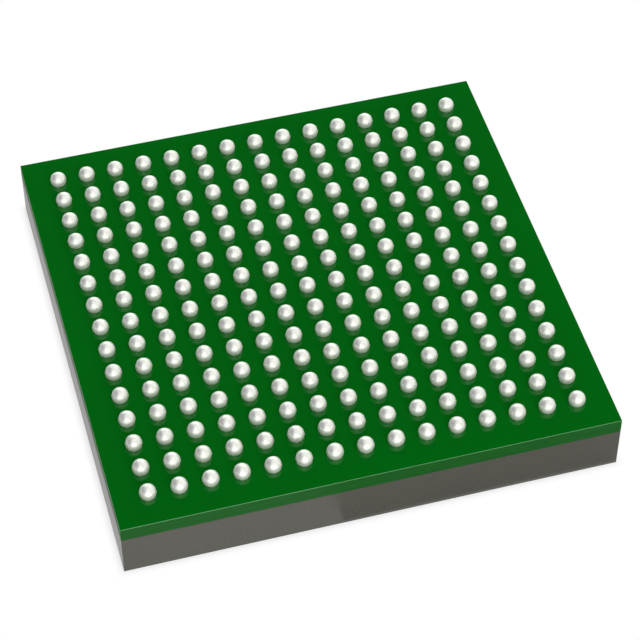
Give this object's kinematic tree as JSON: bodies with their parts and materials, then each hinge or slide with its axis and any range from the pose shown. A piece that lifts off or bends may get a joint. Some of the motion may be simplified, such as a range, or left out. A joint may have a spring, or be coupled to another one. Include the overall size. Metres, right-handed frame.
{
  "type": "ball grid array package",
  "caption": "Square moulded chip package, balls up: a black-grey epoxy moulding on a green laminate with a full grid of solder balls.",
  "frame": {"origin": "centre of the moulding's flat marking face, on which the package lies", "axes": "+X along a row of balls, +Y from the last row of balls to row A, +Z out of the ball side"},
  "size_m": [0.013, 0.013, 0.002],
  "materials": {
    "mould_compound": "matt, finely grained, sawn at the sides",
    "silicon": "ground and polished",
    "die_adhesive": "silver-filled epoxy",
    "gold_wire": "bright drawn gold",
    "copper": "etched foil",
    "solder_mask": "glossy green coat",
    "laminate": "sawn glass and resin, green",
    "solder": "satin reflowed tin alloy"
  },
  "bodies": {
    "root": {"mold_cap": "mould_compound", "die": "silicon", "die_attach": "die_adhesive", "solder_mask_die_side": "solder_mask", "laminate_core": "laminate", "ball_lands": "copper", "solder_mask_ball_side": "solder_mask", "bond_wires_back": "gold_wire", "bond_fingers_back": "copper", "bond_wires_left": "gold_wire", "bond_fingers_left": "copper", "bond_wires_front": "gold_wire", "bond_fingers_front": "copper", "bond_wires_right": "gold_wire", "bond_fingers_right": "copper", "solder_balls_row_a": "solder", "solder_balls_row_b": "solder", "solder_balls_row_c": "solder", "solder_balls_row_d": "solder", "solder_balls_row_e": "solder", "solder_balls_row_f": "solder", "solder_balls_row_g": "solder", "solder_balls_row_h": "solder", "solder_balls_row_j": "solder", "solder_balls_row_k": "solder", "solder_balls_row_l": "solder", "solder_balls_row_m": "solder", "solder_balls_row_n": "solder", "solder_balls_row_p": "solder", "solder_balls_row_r": "solder"}
  },
  "joints": []
}
